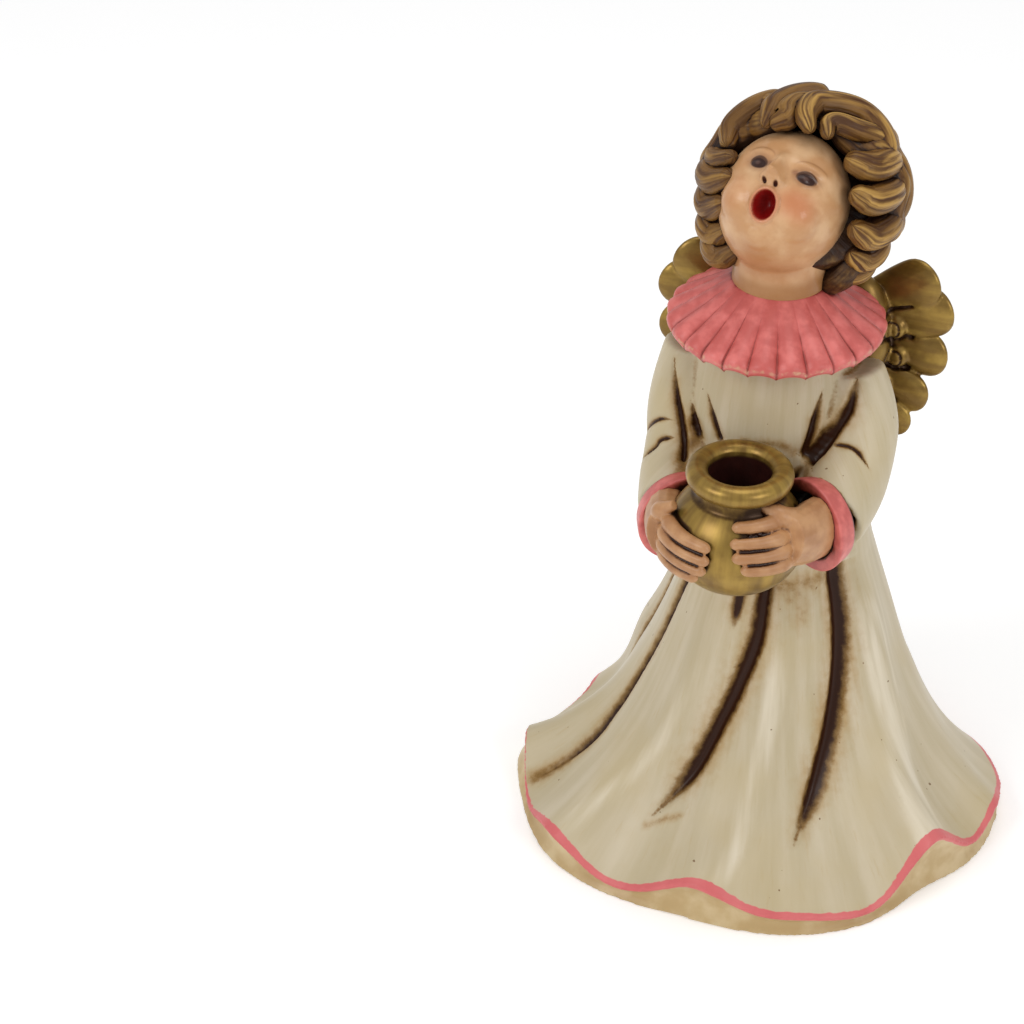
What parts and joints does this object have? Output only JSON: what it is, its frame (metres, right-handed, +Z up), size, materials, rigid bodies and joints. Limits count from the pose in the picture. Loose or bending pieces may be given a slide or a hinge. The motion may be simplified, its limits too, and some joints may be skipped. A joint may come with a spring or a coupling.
{
  "type": "angel candle holder",
  "caption": "Standing painted cast angel in a flared robe, singing, that holds a round pot with a socket for a small candle.",
  "frame": {"origin": "centre of the figure's bounding box at the level of the table it stands on", "axes": "+Z up, -Y towards the side the angel faces with its pot, +X to the right in a front view"},
  "size_m": [0.1112, 0.1018, 0.1723],
  "materials": {
    "painted_casting": "cream paint with a brown antiquing wash under a satin varnish, with gold, pink, skin and hair colours painted on"
  },
  "bodies": {
    "root": {"angel_figure": "painted_casting"}
  },
  "joints": []
}
